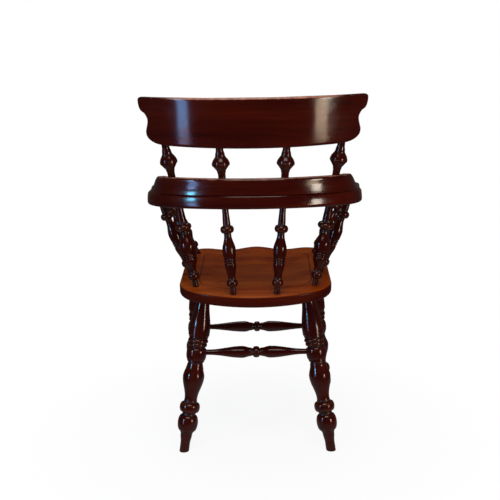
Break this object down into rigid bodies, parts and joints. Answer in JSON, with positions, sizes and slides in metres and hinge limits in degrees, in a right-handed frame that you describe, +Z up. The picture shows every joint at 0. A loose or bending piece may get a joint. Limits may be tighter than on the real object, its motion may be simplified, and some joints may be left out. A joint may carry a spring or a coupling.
{
  "type": "captain's armchair",
  "caption": "Wooden comb-back captain's armchair: saddle seat on turned splayed legs and box stretchers, turned spindles under a horseshoe arm bow, raised cresting and a curved comb rail above.",
  "frame": {"origin": "on the floor, under the middle of the chair's bounding box", "axes": "+Z up, the chair faces -Y, +X to the sitter's left"},
  "size_m": [0.5926, 0.4439, 0.9017],
  "materials": {
    "seat_wood": "clear varnish over orange-brown wood, grain running from side to side, darker worn edge",
    "leg_lacquer": "glossy near-black red-brown lacquer",
    "arm_lacquer": "glossy dark red-brown lacquer, rubbed to brown on the outer sides",
    "rail_lacquer": "glossy dark red-brown lacquer with a faint figure",
    "spindle_lacquer": "glossy near-black red-brown lacquer, a little brown on the beads"
  },
  "bodies": {
    "root": {"seat": "seat_wood", "rear_leg_left": "leg_lacquer", "rear_leg_right": "leg_lacquer", "front_leg_left": "leg_lacquer", "front_leg_right": "leg_lacquer", "rear_stretcher": "leg_lacquer", "front_stretcher": "leg_lacquer", "side_stretcher_left": "leg_lacquer", "side_stretcher_right": "leg_lacquer", "arm_left": "arm_lacquer", "arm_right": "arm_lacquer", "bow_cresting": "rail_lacquer", "comb_rail": "rail_lacquer", "centre_spindle_left": "spindle_lacquer", "centre_spindle_right": "spindle_lacquer", "corner_spindle_left": "spindle_lacquer", "corner_spindle_right": "spindle_lacquer", "side_spindle_left": "spindle_lacquer", "side_spindle_right": "spindle_lacquer", "arm_support_left": "spindle_lacquer", "arm_support_right": "spindle_lacquer", "inner_comb_spindle_left": "spindle_lacquer", "inner_comb_spindle_right": "spindle_lacquer", "outer_comb_spindle_left": "spindle_lacquer", "outer_comb_spindle_right": "spindle_lacquer"}
  },
  "joints": []
}
